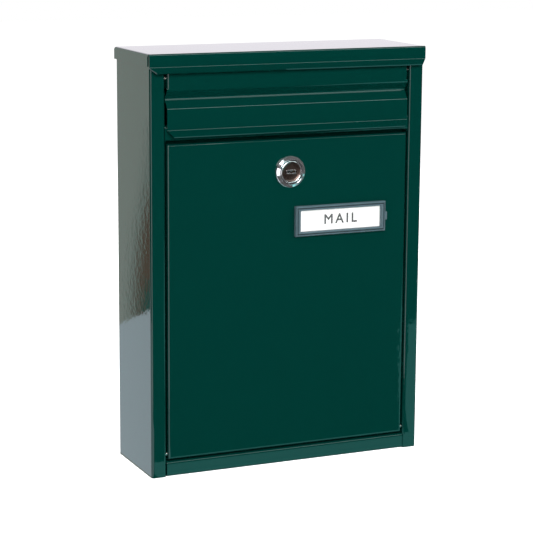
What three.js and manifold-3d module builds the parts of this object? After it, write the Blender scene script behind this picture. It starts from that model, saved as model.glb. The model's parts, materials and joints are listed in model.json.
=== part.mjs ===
// Wall mounted mailbox: folded steel case, letter flap, bottom-hinged door with a cam lock.
// Millimetres, +Z up. The front faces -Y; the wall plane is y = 0 and the origin is the
// centre of the back panel.
import * as THREE from 'three';
import { mergeVertices } from 'three/addons/utils/BufferGeometryUtils.js';
import Module from 'manifold-3d';

// ---- driving dimensions ----
const BODY_WIDTH = 211;
const BODY_DEPTH = 68.5;
const HEIGHT = 300;
const SHEET = 1.0; // steel sheet thickness
const GAP = 0.3; // clearance between touching pieces
const BEND = 1.5; // bend radius at the middle of the sheet
const BEND_STEPS = 4;

const STILE_WIDTH = 11.1;
const RETURN_DEPTH = 8.5; // stile's inward return
const TOP_FLANGE = { depth: 12, inset: 6, leg: 10 };
const SCREW_HOLE = { radius: 3, x: 75, z: 110 };

const ROOF_OVERHANG = SHEET + GAP; // lid's side flanges just clear the case
const ROOF_SIDE_DROP = 8.5;
const ROOF_LIP_DROP = 9.5;
const ROOF_LIP_PROUD = 1.3; // lip's front ahead of the case front
const ROOF_CORNER_NOTCH = 2.6;
const ROOF_FLARE = { out: 4.5, down: 3.4, chamfer: 4.1 };

const TRAY_RAIL_HEIGHT = 11.1;
const TRAY_UPSTAND = 11;

const CROSS_RAIL = { bottom: 89.7, top: 100.4, depth: 8.1, lip: 5.5, tab: 7 };

const FLAP_HALF_WIDTH = 92.8;
const FLAP = { top: 138, grooveTop: 124.8, grooveMid: 119.1, grooveBottom: 111.7, grooveDepth: 5 };
const FLAP_FLARE = { top: 97, out: 4.7, down: 4.1, chamfer: 3.4 };
const FLAP_EAR = { bottom: 126, top: 136.5, depth: 7.5, leg: 8 };
const FLAP_PIN_Z = 133;

const DOOR_HALF_WIDTH = 93;
const DOOR_BOTTOM = -137.6;
const DOOR_TOP = 87.7;
const DOOR_DEPTH = 9.1;
const DOOR_PIN_Z = -134;

const PIN_SETBACK = 3.5; // hinge axes behind the case front
const PIN = { radius: 1.25, holeRadius: 1.45, headRadius: 2.3, headLength: 1, length: 5.6 };
const OVERLAP = 0.5; // how far joined shapes reach into each other
const CLEAR_CUT = 1; // how far cutters reach past the surface they open

const LOCK_Z = 64;
const LOCK_SEGMENTS = 32;
const BEZEL = { radius: 11.25, length: 2.6, chamfer: 1.0 };
const BARREL = { radius: 9.5, length: 16 };
const PLUG_HEAD = { radius: 8.0, length: 4 };
const PLUG_BODY_RADIUS = 6.0;
const PLUG_PROUD = -0.4; // plug's face ahead of the bezel's
const KEYWAY = { width: 9, height: 1.5, depth: 14 };
const WAFER = {
  count: 4, first: 1.2, pitch: 2.0, width: 10.2, height: 5, thickness: 0.6,
  window: { width: 7.4, height: 2.3 },
};
const TANG = 6;
const LOCK_NUT = { acrossFlats: 24, thickness: 4 };
const LOCK_WASHER = { radius: 12.5, thickness: 0.8 };
const CAM = {
  length: 26, width: 13, thickness: 1.6, crank: 5.3, crankStart: 10.4, crankEnd: 15, corner: 3,
};
const CAM_SCREW = { radius: 1.8, length: 6, headRadius: 3.4, headLength: 2.2, slot: 1 };
const CAM_WASHER = { radius: 5.5, thickness: 0.8 };

const LABEL = { x: 39.4, z: 28, width: 71.8, height: 22, bevel: 1.8 };
const LABEL_BASE = { thickness: 0.8, pegRadius: 1.6, pegLength: 3.2, pegSpacing: 50 };
const LABEL_CARD = { width: 63.2, height: 15, thickness: 0.3, play: 0.5 };
const LABEL_COVER = { thickness: 2.2, window: 0.8, border: 0.9 };
const LABEL_TAB = { width: 1.6, height: 6, thickness: 0.9 };

// ---- derived places ----
const HALF_BODY = BODY_WIDTH / 2;
const HALF_HEIGHT = HEIGHT / 2;
const FRONT = -BODY_DEPTH;
const FRONT_MID = FRONT + SHEET / 2; // middle of the front sheet
const DOOR_INNER = FRONT + SHEET;
const STILE_INNER = HALF_BODY - STILE_WIDTH;
const ROOF_UNDERSIDE = HALF_HEIGHT - SHEET;
const PIN_Y = FRONT + PIN_SETBACK;
const DOOR_BACK = FRONT + DOOR_DEPTH;
const HALF_RAIL = STILE_INNER - GAP;
const FAR = 400; // longer than any piece, for cutters

// ---- materials ----
const ENAMEL = { color: 0x003830, roughness: 0.25, metalness: 0.0 };
const ZINC = { color: 0xb8b4ae, roughness: 0.35, metalness: 1.0 };
const CHROME = { color: 0xe4e4e6, roughness: 0.12, metalness: 1.0 };
const NICKEL = { color: 0x6a5c54, roughness: 0.3, metalness: 1.0 };
const BRASS = { color: 0xb39a55, roughness: 0.35, metalness: 1.0 };
const CLEAR = { color: 0xc8d6da, roughness: 0.1, metalness: 0.0 };
const PAPER = { color: 0xf4f4f2, roughness: 0.9, metalness: 0.0 };

// ---- solids ----
const wasm = await Module();
wasm.setup();

// Closed geometry as a solid that can be cut and joined.
function solid(geometry) {
  const bare = geometry.index ? geometry.toNonIndexed() : geometry.clone();
  bare.deleteAttribute('normal');
  bare.deleteAttribute('uv');
  const merged = mergeVertices(bare, 1e-4);
  return new wasm.Manifold(new wasm.Mesh({
    numProp: 3,
    vertProperties: new Float32Array(merged.attributes.position.array),
    triVerts: new Uint32Array(merged.index.array),
  }));
}

function toGeometry(manifold) {
  const mesh = manifold.getMesh();
  const geometry = new THREE.BufferGeometry();
  geometry.setAttribute('position', new THREE.BufferAttribute(mesh.vertProperties, 3));
  geometry.setIndex(new THREE.BufferAttribute(mesh.triVerts, 1));
  geometry.computeVertexNormals();
  return geometry;
}

function join(first, ...others) {
  return others.reduce((sum, other) => sum.add(other), first);
}

function cut(first, ...others) {
  return others.reduce((rest, other) => rest.subtract(other), first);
}

function box(x, y, z) {
  const geometry = new THREE.BoxGeometry(x[1] - x[0], y[1] - y[0], z[1] - z[0]);
  geometry.translate((x[0] + x[1]) / 2, (y[0] + y[1]) / 2, (z[0] + z[1]) / 2);
  return solid(geometry);
}

function extrude(shape, depth) {
  return new THREE.ExtrudeGeometry(shape, { depth, bevelEnabled: false, curveSegments: 8 });
}

// An outline in (y, z), run along X.
function extrudeX(shape, x) {
  const geometry = extrude(shape, x[1] - x[0]);
  const axes = [new THREE.Vector3(0, 1, 0), new THREE.Vector3(0, 0, 1), new THREE.Vector3(1, 0, 0)];
  geometry.applyMatrix4(new THREE.Matrix4().makeBasis(...axes));
  geometry.translate(x[0], 0, 0);
  return solid(geometry);
}

// An outline in (x, z), run along Y.
function extrudeY(shape, y) {
  const geometry = extrude(shape, y[1] - y[0]);
  geometry.rotateX(Math.PI / 2);
  geometry.translate(0, y[1], 0);
  return solid(geometry);
}

// An outline in (x, y), run along Z.
function extrudeZ(shape, z) {
  const geometry = extrude(shape, z[1] - z[0]);
  geometry.translate(0, 0, z[0]);
  return solid(geometry);
}

function polygon(points) {
  return new THREE.Shape(points.map(([u, v]) => new THREE.Vector2(u, v)));
}

// Two places on one side of the middle, given for the right side (side 1) and kept in order.
function span(side, from, to) {
  return side > 0 ? [from, to] : [-to, -from];
}

// The middle line of a folded sheet: straight runs with an arc at every corner.
function foldLine(corners) {
  const points = corners.map(([u, v]) => new THREE.Vector2(u, v));
  const line = [points[0]];
  for (let i = 1; i < points.length - 1; i += 1) {
    const into = points[i].clone().sub(points[i - 1]).normalize();
    const away = points[i + 1].clone().sub(points[i]).normalize();
    const turn = Math.atan2(into.cross(away), into.dot(away));
    const start = points[i].clone().addScaledVector(into, -BEND * Math.tan(Math.abs(turn) / 2));
    const side = new THREE.Vector2(-into.y, into.x).multiplyScalar(Math.sign(turn) * BEND);
    const centre = start.clone().add(side);
    for (let step = 0; step <= BEND_STEPS; step += 1) {
      line.push(start.clone().rotateAround(centre, (turn * step) / BEND_STEPS));
    }
  }
  line.push(points[points.length - 1]);
  return line;
}

// The closed outline of a folded sheet of one thickness along a middle line.
function sheetSection(corners) {
  const line = foldLine(corners);
  const offsets = line.map((point, i) => {
    const before = line[Math.max(i - 1, 0)];
    const after = line[Math.min(i + 1, line.length - 1)];
    const into = point.clone().sub(before).normalize();
    const away = after.clone().sub(point).normalize();
    const along = into.clone().add(away).normalize();
    const stretch = into.lengthSq() && away.lengthSq() ? 1 / along.dot(away) : 1;
    return new THREE.Vector2(-along.y, along.x).multiplyScalar((stretch * SHEET) / 2);
  });
  const left = line.map((point, i) => point.clone().add(offsets[i]));
  const right = line.map((point, i) => point.clone().sub(offsets[i])).reverse();
  return new THREE.Shape([...left, ...right]);
}

function mirrored(corners) {
  const other = corners.map(([u, v]) => [-u, v]).reverse();
  return [...corners, ...other];
}

function cylinderX(radius, x, y, z, segments = 20) {
  const geometry = new THREE.CylinderGeometry(radius, radius, x[1] - x[0], segments);
  geometry.rotateZ(-Math.PI / 2);
  geometry.translate((x[0] + x[1]) / 2, y, z);
  return solid(geometry);
}

function cylinderY(radius, y, x, z, segments = LOCK_SEGMENTS) {
  const geometry = new THREE.CylinderGeometry(radius, radius, y[1] - y[0], segments);
  geometry.translate(x, (y[0] + y[1]) / 2, z);
  return solid(geometry);
}

// A closed profile in (radius, y), turned about the lock's axis.
function turned(profile) {
  const points = profile.map(([radius, y]) => new THREE.Vector2(radius, y));
  const geometry = new THREE.LatheGeometry(points, LOCK_SEGMENTS);
  geometry.translate(0, 0, LOCK_Z);
  return solid(geometry);
}

// Wedges that take both end corners off a flared edge; they run on past its lower edge.
function cornerWedges(halfWidth, top, flare, y) {
  const reach = flare.down + 3;
  const inward = (flare.chamfer / flare.down) * reach;
  const right = extrudeY(polygon([
    [halfWidth, top], [halfWidth + FAR, top], [halfWidth + FAR, top - reach],
    [halfWidth - inward, top - reach],
  ]), y);
  return [right, right.mirror([1, 0, 0])];
}

// Cutters for a hinge pin's holes through both sides of a piece.
function pinHoles(from, to, z) {
  return [-1, 1].map((side) => cylinderX(
    PIN.holeRadius, span(side, from - CLEAR_CUT, to + CLEAR_CUT), PIN_Y, z,
  ));
}

// ---- folded steel ----
function caseShell() {
  const returnMid = STILE_INNER + SHEET / 2;
  const side = HALF_BODY - SHEET / 2;
  const left = [[-returnMid, FRONT + RETURN_DEPTH], [-returnMid, FRONT_MID], [-side, FRONT_MID],
    [-side, -SHEET / 2]];
  const top = ROOF_UNDERSIDE - GAP;
  const wrap = extrudeZ(sheetSection(mirrored(left)), [-HALF_HEIGHT, top]);

  const flangeHalf = HALF_BODY - TOP_FLANGE.inset;
  const relief = box(
    [-flangeHalf, flangeHalf], [-SHEET - CLEAR_CUT, CLEAR_CUT],
    [top - TOP_FLANGE.leg / 2, top + CLEAR_CUT],
  );
  const backMid = -SHEET / 2;
  const flangeMid = top - SHEET / 2;
  const flange = extrudeX(
    sheetSection([
      [backMid, top - TOP_FLANGE.leg], [backMid, flangeMid], [-TOP_FLANGE.depth, flangeMid],
    ]),
    [-flangeHalf, flangeHalf],
  );
  const screwHoles = [-SCREW_HOLE.x, SCREW_HOLE.x].flatMap((x) => (
    [-SCREW_HOLE.z, SCREW_HOLE.z].map((z) => cylinderY(
      SCREW_HOLE.radius, [-SHEET - CLEAR_CUT, CLEAR_CUT], x, z, 20,
    ))
  ));
  const hingeHoles = [DOOR_PIN_Z, FLAP_PIN_Z].flatMap(
    (z) => pinHoles(STILE_INNER, STILE_INNER + SHEET, z),
  );
  return cut(join(cut(wrap, relief), flange), ...screwHoles, ...hingeHoles);
}

function bottomTray() {
  const floorMid = -HALF_HEIGHT + SHEET / 2;
  const railTop = -HALF_HEIGHT + TRAY_RAIL_HEIGHT - SHEET / 2;
  const upstandTop = -HALF_HEIGHT + TRAY_UPSTAND;
  const back = -SHEET - GAP - SHEET / 2;
  const rail = extrudeX(sheetSection([
    [FRONT + RETURN_DEPTH - 1, railTop], [FRONT_MID, railTop], [FRONT_MID, floorMid],
    [back, floorMid], [back, upstandTop],
  ]), [-HALF_RAIL, HALF_RAIL]);
  const side = HALF_BODY - SHEET - GAP - SHEET / 2;
  const sides = extrudeY(
    sheetSection(mirrored([[-side, upstandTop], [-side, floorMid]])),
    [FRONT + RETURN_DEPTH + GAP, back - SHEET / 2],
  );
  return join(rail, sides);
}

function roofCap() {
  const halfWidth = HALF_BODY + ROOF_OVERHANG;
  const half = halfWidth - SHEET / 2;
  const topMid = HALF_HEIGHT - SHEET / 2;
  const lipMid = FRONT - ROOF_LIP_PROUD + SHEET / 2;
  const lipBottom = HALF_HEIGHT - ROOF_LIP_DROP;
  const lid = extrudeY(
    sheetSection(mirrored([[-half, HALF_HEIGHT - ROOF_SIDE_DROP], [-half, topMid]])),
    [lipMid, 0],
  );
  const lip = extrudeX(sheetSection([
    [-SHEET, topMid], [lipMid, topMid], [lipMid, lipBottom],
    [lipMid - ROOF_FLARE.out, lipBottom - ROOF_FLARE.down],
  ]), [-halfWidth, halfWidth]);
  const notchBack = lipMid - SHEET / 2 + ROOF_CORNER_NOTCH;
  const notches = [[-FAR, -HALF_BODY], [HALF_BODY, FAR]].map(
    (x) => box(x, [lipMid - CLEAR_CUT, notchBack], [lipBottom - CLEAR_CUT, topMid - BEND]),
  );
  const openLid = cut(lid, ...notches);
  const wedges = cornerWedges(halfWidth, lipBottom + CLEAR_CUT, ROOF_FLARE, [-FAR, -SHEET]);
  const corner = BEND + SHEET / 2;
  const rounders = [-1, 1].map((side) => cut(
    box(span(side, halfWidth - corner, FAR), [-FAR, 0], [HALF_HEIGHT - corner, FAR]),
    cylinderY(corner, [-FAR, 0], side * (halfWidth - corner), HALF_HEIGHT - corner),
  ));
  return join(openLid, cut(lip, ...wedges, ...rounders));
}

function crossRail() {
  const face = FRONT_MID + SHEET + GAP;
  const back = face + CROSS_RAIL.depth;
  const top = CROSS_RAIL.top - SHEET / 2;
  const bottom = CROSS_RAIL.bottom + SHEET / 2;
  const channel = extrudeX(sheetSection([
    [back, top], [face, top], [face, bottom], [back, bottom], [back, bottom - CROSS_RAIL.lip],
  ]), [-HALF_RAIL, HALF_RAIL]);
  const tabs = [-1, 1].map((side) => box(
    span(side, HALF_RAIL - SHEET, HALF_RAIL), [face, face + CROSS_RAIL.tab], [bottom, top],
  ));
  return join(channel, ...tabs);
}

function slotFlap() {
  const plate = extrudeX(sheetSection([
    [FRONT_MID, FLAP.top], [FRONT_MID, FLAP.grooveTop],
    [FRONT_MID + FLAP.grooveDepth, FLAP.grooveMid], [FRONT_MID, FLAP.grooveBottom],
    [FRONT_MID, FLAP_FLARE.top], [FRONT_MID - FLAP_FLARE.out, FLAP_FLARE.top - FLAP_FLARE.down],
  ]), [-FLAP_HALF_WIDTH, FLAP_HALF_WIDTH]);
  const wedges = cornerWedges(
    FLAP_HALF_WIDTH, FLAP_FLARE.top, FLAP_FLARE, [-FAR, DOOR_INNER + CLEAR_CUT],
  );
  const earMid = FLAP_HALF_WIDTH - SHEET / 2;
  const earZ = [FLAP_EAR.bottom, FLAP_EAR.top];
  const ears = [-1, 1].map((side) => extrudeZ(sheetSection([
    [side * (earMid - FLAP_EAR.leg), FRONT_MID], [side * earMid, FRONT_MID],
    [side * earMid, FRONT + FLAP_EAR.depth],
  ]), earZ));
  const through = [FRONT - CLEAR_CUT, DOOR_INNER + CLEAR_CUT];
  const squareEdges = [-1, 1].map((side) => box(
    span(side, earMid - BEND, FLAP_HALF_WIDTH + CLEAR_CUT), through, earZ,
  ));
  const trimmed = cut(plate, ...wedges, ...squareEdges);
  const hingeHoles = pinHoles(FLAP_HALF_WIDTH - SHEET, FLAP_HALF_WIDTH, FLAP_PIN_Z);
  return cut(join(trimmed, ...ears), ...hingeHoles);
}

// A shallow open box with bends along its four front edges.
function doorBlank(inset) {
  const half = DOOR_HALF_WIDTH - inset;
  const front = FRONT + inset;
  const radius = BEND + SHEET / 2 - inset;
  const back = DOOR_BACK + inset;
  const wide = roundedFront(-half, half, front, back, radius);
  const tall = roundedFront(DOOR_BOTTOM + inset, DOOR_TOP - inset, front, back, radius);
  const across = extrudeZ(wide, [DOOR_BOTTOM + inset, DOOR_TOP - inset]);
  const alongX = extrude(tall, 2 * half);
  // (z, y) outline run along X
  const axes = [new THREE.Vector3(0, 0, 1), new THREE.Vector3(0, 1, 0), new THREE.Vector3(-1, 0, 0)];
  alongX.applyMatrix4(new THREE.Matrix4().makeBasis(...axes));
  alongX.translate(half, 0, 0);
  return across.intersect(solid(alongX));
}

function roundedFront(low, high, front, back, radius) {
  const shape = new THREE.Shape();
  shape.moveTo(low, back);
  shape.lineTo(low, front + radius);
  shape.absarc(low + radius, front + radius, radius, Math.PI, 1.5 * Math.PI, false);
  shape.lineTo(high - radius, front);
  shape.absarc(high - radius, front + radius, radius, 1.5 * Math.PI, 2 * Math.PI, false);
  shape.lineTo(high, back);
  return shape;
}

function doorPanel() {
  const tray = cut(doorBlank(0), doorBlank(SHEET));
  const through = [FRONT - CLEAR_CUT, DOOR_INNER + CLEAR_CUT];
  const lockHole = cylinderY(BARREL.radius + GAP, through, 0, LOCK_Z);
  const pegHoles = pegPlaces().map(
    (x) => cylinderY(LABEL_BASE.pegRadius + GAP, through, x, LABEL.z, 16),
  );
  const hingeHoles = pinHoles(DOOR_HALF_WIDTH - SHEET, DOOR_HALF_WIDTH, DOOR_PIN_Z);
  return cut(tray, ...hingeHoles, lockHole, ...pegHoles);
}

// A headed pin through a stile's return into a moving piece; side is -1 or 1.
function hingePin(side, z) {
  const head = STILE_INNER + SHEET + GAP;
  const end = head + PIN.headLength;
  return join(
    cylinderX(PIN.headRadius, span(side, head, end), PIN_Y, z),
    cylinderX(PIN.radius, span(side, end - PIN.length, head + OVERLAP), PIN_Y, z),
  );
}

// ---- cam lock, along Y from the bezel back to the cam screw ----
const BEZEL_BACK = FRONT - GAP;
const BEZEL_FRONT = BEZEL_BACK - BEZEL.length;
const BARREL_BACK = BEZEL_BACK + BARREL.length;
const PLUG_FRONT = BEZEL_FRONT - PLUG_PROUD;
const PLUG_SHOULDER = PLUG_FRONT + PLUG_HEAD.length;
const CAM_FRONT = BARREL_BACK + GAP;
const CAM_BACK = CAM_FRONT + CAM.thickness;
const CAM_WASHER_BACK = CAM_BACK + GAP + CAM_WASHER.thickness;
const CAM_SCREW_SEAT = CAM_WASHER_BACK + GAP;
const CAM_SCREW_FRONT = CAM_SCREW_SEAT - CAM_SCREW.length;

function lockHousing() {
  const counterbore = PLUG_HEAD.radius + GAP;
  const bore = PLUG_BODY_RADIUS + GAP;
  return turned([
    [bore, BARREL_BACK], [bore, PLUG_SHOULDER + GAP], [counterbore, PLUG_SHOULDER + GAP],
    [counterbore, BEZEL_FRONT], [BEZEL.radius - BEZEL.chamfer, BEZEL_FRONT],
    [BEZEL.radius, BEZEL_FRONT + BEZEL.chamfer], [BEZEL.radius, BEZEL_BACK],
    [BARREL.radius, BEZEL_BACK], [BARREL.radius, BARREL_BACK], [bore, BARREL_BACK],
  ]);
}

function waferPlaces() {
  return Array.from({ length: WAFER.count }, (_, i) => PLUG_SHOULDER + WAFER.first + i * WAFER.pitch);
}

function lockPlug() {
  const head = cylinderY(PLUG_HEAD.radius, [PLUG_FRONT, PLUG_SHOULDER], 0, LOCK_Z);
  const bodyBack = BARREL_BACK - OVERLAP;
  const body = cylinderY(PLUG_BODY_RADIUS, [PLUG_SHOULDER - OVERLAP, bodyBack], 0, LOCK_Z);
  const half = TANG / 2;
  const tang = box([-half, half], [bodyBack - OVERLAP, CAM_BACK - GAP], [LOCK_Z - half, LOCK_Z + half]);
  const keyway = box(
    [-KEYWAY.width / 2, KEYWAY.width / 2],
    [PLUG_FRONT - CLEAR_CUT, PLUG_FRONT + KEYWAY.depth],
    [LOCK_Z - KEYWAY.height / 2, LOCK_Z + KEYWAY.height / 2],
  );
  const slotHalf = { y: WAFER.thickness / 2 + GAP, z: WAFER.height / 2 + GAP };
  const slots = waferPlaces().map((y) => box(
    [-PLUG_BODY_RADIUS - CLEAR_CUT, PLUG_BODY_RADIUS + CLEAR_CUT],
    [y - slotHalf.y, y + slotHalf.y],
    [LOCK_Z - slotHalf.z, LOCK_Z + slotHalf.z],
  ));
  const tapped = cylinderY(
    CAM_SCREW.radius + GAP, [CAM_SCREW_FRONT - GAP, CAM_BACK + CLEAR_CUT], 0, LOCK_Z, 16,
  );
  return cut(join(head, body, tang), keyway, ...slots, tapped);
}

function lockWafer(y) {
  const half = { y: WAFER.thickness / 2, z: WAFER.height / 2 };
  const plate = box(
    [-WAFER.width / 2, WAFER.width / 2], [y - half.y, y + half.y], [LOCK_Z - half.z, LOCK_Z + half.z],
  );
  const { width, height } = WAFER.window;
  const window = box(
    [-width / 2, width / 2], [y - CLEAR_CUT, y + CLEAR_CUT], [LOCK_Z - height / 2, LOCK_Z + height / 2],
  );
  return cut(plate, window);
}

function ring(outer, inner, y, segments = LOCK_SEGMENTS) {
  return cut(
    cylinderY(outer, y, 0, LOCK_Z, segments),
    cylinderY(inner, [y[0] - CLEAR_CUT, y[1] + CLEAR_CUT], 0, LOCK_Z),
  );
}

const LOCK_WASHER_BACK = DOOR_INNER + GAP + LOCK_WASHER.thickness;

function lockWasher() {
  return ring(LOCK_WASHER.radius, BARREL.radius + GAP, [DOOR_INNER + GAP, LOCK_WASHER_BACK]);
}

function lockNut() {
  const front = LOCK_WASHER_BACK + GAP;
  const cornerRadius = LOCK_NUT.acrossFlats / Math.sqrt(3);
  return ring(cornerRadius, BARREL.radius + GAP, [front, front + LOCK_NUT.thickness], 6);
}

// Cranked cam, pointing along +X when unlocked: its tip lies nearer the door than its hub.
function lockCam() {
  const mid = CAM_FRONT + CAM.thickness / 2;
  const half = CAM.width / 2;
  const tipMid = mid - CAM.crank;
  const t = CAM.thickness / 2;
  const side = polygon([
    [-half, mid - t], [CAM.crankStart, mid - t], [CAM.crankEnd, tipMid - t], [CAM.length, tipMid - t],
    [CAM.length, tipMid + t], [CAM.crankEnd + t, tipMid + t], [CAM.crankStart + t, mid + t],
    [-half, mid + t],
  ]);
  const strip = extrudeZ(side, [LOCK_Z - half, LOCK_Z + half]);
  const plan = new THREE.Shape();
  plan.absarc(0, LOCK_Z, half, 0.5 * Math.PI, 1.5 * Math.PI, false);
  plan.lineTo(CAM.length - CAM.corner, LOCK_Z - half);
  plan.lineTo(CAM.length, LOCK_Z - half + CAM.corner);
  plan.lineTo(CAM.length, LOCK_Z + half - CAM.corner);
  plan.lineTo(CAM.length - CAM.corner, LOCK_Z + half);
  const depth = [tipMid - CAM.thickness, mid + CAM.thickness];
  const hole = TANG / 2 + GAP;
  const square = box([-hole, hole], depth, [LOCK_Z - hole, LOCK_Z + hole]);
  return cut(strip.intersect(extrudeY(plan, depth)), square);
}

function camWasher() {
  return ring(CAM_WASHER.radius, CAM_SCREW.radius + GAP, [CAM_BACK + GAP, CAM_WASHER_BACK]);
}

function camScrew() {
  const back = CAM_SCREW_SEAT + CAM_SCREW.headLength;
  const head = cylinderY(CAM_SCREW.headRadius, [CAM_SCREW_SEAT, back], 0, LOCK_Z, 24);
  const shank = cylinderY(CAM_SCREW.radius, [CAM_SCREW_FRONT, CAM_SCREW_SEAT + OVERLAP], 0, LOCK_Z, 16);
  const half = CAM_SCREW.slot / 2;
  const slot = box(
    [-CAM_SCREW.headRadius - CLEAR_CUT, CAM_SCREW.headRadius + CLEAR_CUT],
    [back - CAM_SCREW.slot, back + CLEAR_CUT],
    [LOCK_Z - half, LOCK_Z + half],
  );
  return cut(join(head, shank), slot);
}

// ---- name plate ----
function pegPlaces() {
  return [LABEL.x - LABEL_BASE.pegSpacing / 2, LABEL.x + LABEL_BASE.pegSpacing / 2];
}

function labelBounds(width, height) {
  return {
    x: [LABEL.x - width / 2, LABEL.x + width / 2],
    z: [LABEL.z - height / 2, LABEL.z + height / 2],
  };
}

const LABEL_BASE_FRONT = FRONT - GAP - LABEL_BASE.thickness;
const LABEL_COVER_BACK = LABEL_BASE_FRONT - GAP;

function labelBase() {
  const bounds = labelBounds(LABEL.width, LABEL.height);
  const plate = box(bounds.x, [LABEL_BASE_FRONT, FRONT - GAP], bounds.z);
  const pegDepth = [FRONT - GAP - OVERLAP, FRONT + LABEL_BASE.pegLength];
  const pegs = pegPlaces().map((x) => cylinderY(LABEL_BASE.pegRadius, pegDepth, x, LABEL.z, 16));
  return join(plate, ...pegs);
}

function labelCard() {
  const bounds = labelBounds(LABEL_CARD.width, LABEL_CARD.height);
  return box(bounds.x, [LABEL_COVER_BACK - LABEL_CARD.thickness, LABEL_COVER_BACK], bounds.z);
}

// Clear cover: bevelled all round, hollowed behind for the card, with a thumb tab on the right.
function labelCover() {
  const front = LABEL_COVER_BACK - LABEL_COVER.thickness;
  const shape = polygon([
    [-LABEL.width / 2, -LABEL.height / 2], [LABEL.width / 2, -LABEL.height / 2],
    [LABEL.width / 2, LABEL.height / 2], [-LABEL.width / 2, LABEL.height / 2],
  ]);
  const block = new THREE.ExtrudeGeometry(shape, {
    depth: LABEL_COVER.thickness - LABEL_COVER.border,
    bevelEnabled: true, bevelThickness: LABEL_COVER.border, bevelSize: LABEL.bevel,
    bevelOffset: -LABEL.bevel, bevelSegments: 1,
  });
  block.rotateX(Math.PI / 2);
  block.translate(LABEL.x, LABEL_COVER_BACK, LABEL.z);
  // the extrusion is bevelled behind too, which goes with everything behind the cover's back
  const whole = labelBounds(LABEL.width, LABEL.height);
  const bevelled = solid(block).intersect(box(whole.x, [front, LABEL_COVER_BACK], whole.z));
  const play = 2 * LABEL_CARD.play;
  const pocket = labelBounds(LABEL_CARD.width + play, LABEL_CARD.height + play);
  const hollow = box(pocket.x, [front + LABEL_COVER.window, LABEL_COVER_BACK + CLEAR_CUT], pocket.z);
  const tabX = LABEL.x + LABEL.width / 2;
  const tab = box(
    [tabX - OVERLAP, tabX + LABEL_TAB.width],
    [LABEL_COVER_BACK - LABEL_TAB.thickness, LABEL_COVER_BACK],
    [LABEL.z - LABEL_TAB.height / 2, LABEL.z + LABEL_TAB.height / 2],
  );
  return cut(join(bevelled, tab), hollow);
}

// ---- assembly ----
const mailbox = new THREE.Group();

function add(name, manifold, look) {
  const mesh = new THREE.Mesh(toGeometry(manifold), new THREE.MeshStandardMaterial(look));
  mesh.name = name;
  mailbox.add(mesh);
}

add('case_shell', caseShell(), ENAMEL);
add('bottom_tray', bottomTray(), ENAMEL);
add('roof_cap', roofCap(), ENAMEL);
add('cross_rail', crossRail(), ENAMEL);
add('slot_flap', slotFlap(), ENAMEL);
add('door_panel', doorPanel(), ENAMEL);
for (const [side, word] of [[-1, 'left'], [1, 'right']]) {
  add(`flap_pin_${word}`, hingePin(side, FLAP_PIN_Z), ZINC);
  add(`door_pin_${word}`, hingePin(side, DOOR_PIN_Z), ZINC);
}
add('lock_housing', lockHousing(), CHROME);
add('lock_plug', lockPlug(), NICKEL);
waferPlaces().forEach((y, i) => add(`lock_wafer_${i + 1}`, lockWafer(y), BRASS));
add('lock_washer', lockWasher(), ZINC);
add('lock_nut', lockNut(), ZINC);
add('lock_cam', lockCam(), ZINC);
add('cam_washer', camWasher(), ZINC);
add('cam_screw', camScrew(), ZINC);
add('label_base', labelBase(), CLEAR);
add('label_card', labelCard(), PAPER);
add('label_cover', labelCover(), CLEAR);

export default mailbox;
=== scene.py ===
"""Wall mailbox: detailed sheet-metal, lock and name-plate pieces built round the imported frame."""

import json
import math

import bmesh
import bpy
from bpy.props import (
    FloatProperty,
    FloatVectorProperty,
    IntProperty,
    PointerProperty,
    StringProperty,
)
from mathutils import Matrix, Vector

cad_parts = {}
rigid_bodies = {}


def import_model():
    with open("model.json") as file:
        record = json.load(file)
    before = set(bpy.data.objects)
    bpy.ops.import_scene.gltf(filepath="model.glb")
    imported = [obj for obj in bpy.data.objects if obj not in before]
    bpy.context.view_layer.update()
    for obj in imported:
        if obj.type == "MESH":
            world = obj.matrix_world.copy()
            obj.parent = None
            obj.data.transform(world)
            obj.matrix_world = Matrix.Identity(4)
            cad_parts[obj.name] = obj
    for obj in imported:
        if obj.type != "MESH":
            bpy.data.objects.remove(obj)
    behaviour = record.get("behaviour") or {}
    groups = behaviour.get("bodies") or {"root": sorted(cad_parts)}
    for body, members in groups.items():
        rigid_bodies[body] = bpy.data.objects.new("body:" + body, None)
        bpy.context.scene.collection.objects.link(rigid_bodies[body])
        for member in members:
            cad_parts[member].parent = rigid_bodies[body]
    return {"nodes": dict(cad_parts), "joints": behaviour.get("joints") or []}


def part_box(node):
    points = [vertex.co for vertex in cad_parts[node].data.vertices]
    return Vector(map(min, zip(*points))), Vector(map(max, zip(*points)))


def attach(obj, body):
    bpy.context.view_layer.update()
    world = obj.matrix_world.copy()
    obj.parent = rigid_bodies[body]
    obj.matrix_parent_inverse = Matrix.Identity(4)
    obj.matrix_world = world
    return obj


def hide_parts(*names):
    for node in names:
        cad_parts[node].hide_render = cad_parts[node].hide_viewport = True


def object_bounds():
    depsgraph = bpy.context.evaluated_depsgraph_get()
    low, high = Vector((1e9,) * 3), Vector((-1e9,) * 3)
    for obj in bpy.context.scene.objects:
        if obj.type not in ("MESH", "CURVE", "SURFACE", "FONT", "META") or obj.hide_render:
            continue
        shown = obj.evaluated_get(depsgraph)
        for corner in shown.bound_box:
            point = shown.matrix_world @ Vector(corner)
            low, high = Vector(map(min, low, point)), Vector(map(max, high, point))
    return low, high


bl_info = {
    "name": "Wall mailbox",
    "version": (1, 0, 0),
    "blender": (4, 5, 0),
    "location": "3D View > Sidebar > Mailbox",
    "description": "Folded steel wall mailbox with a letter flap, a cam-locked door and a name plate",
    "category": "Object",
}

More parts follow.
